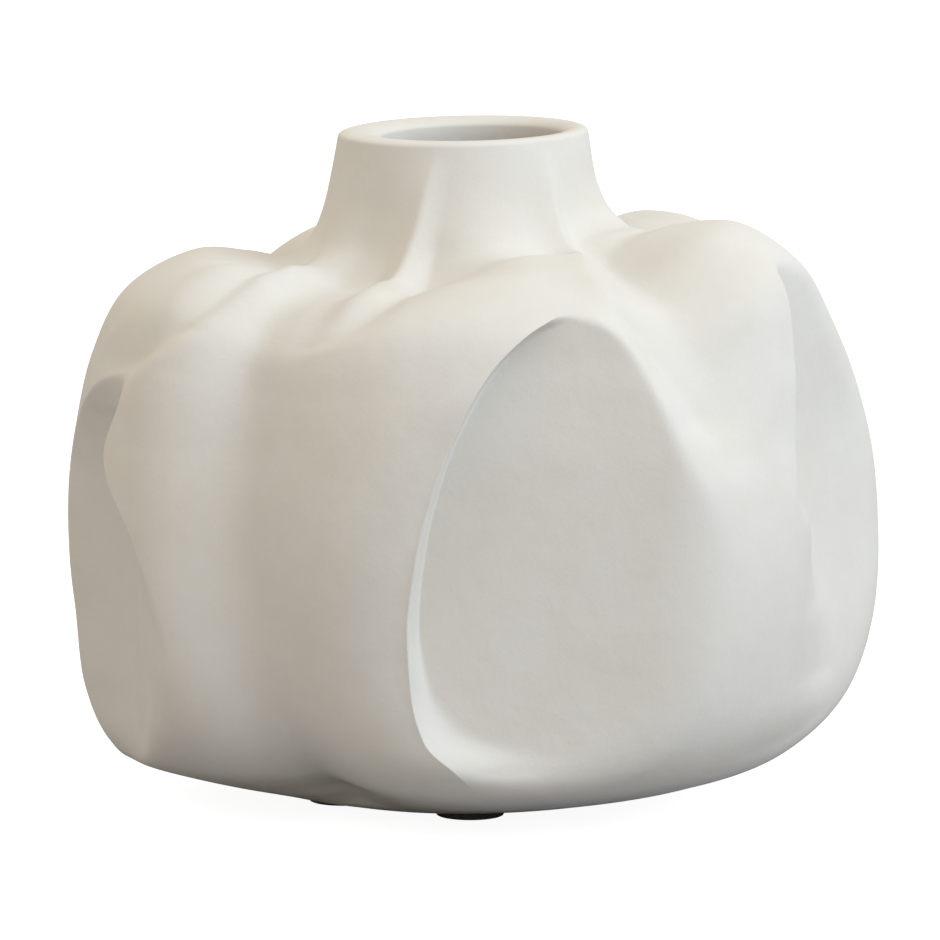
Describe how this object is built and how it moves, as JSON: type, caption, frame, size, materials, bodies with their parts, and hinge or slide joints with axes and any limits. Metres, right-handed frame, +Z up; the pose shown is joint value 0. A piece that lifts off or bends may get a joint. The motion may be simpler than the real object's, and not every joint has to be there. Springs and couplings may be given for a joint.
{
  "type": "vase",
  "caption": "Lobed ceramic vase with flat cut faces, soft grooves that run up to a short round neck, and round pads under its foot.",
  "frame": {"origin": "middle of the outline on the table plane, under the foot pads", "axes": "+Z up, -Y to the front, where the large flat face looks, +X to the right"},
  "size_m": [0.2406, 0.2324, 0.2006],
  "materials": {
    "clay": "matte unglazed",
    "pad": "matte"
  },
  "bodies": {
    "root": {"vase": "clay", "pad_front": "pad", "pad_right": "pad", "pad_back": "pad", "pad_left": "pad"}
  },
  "joints": []
}
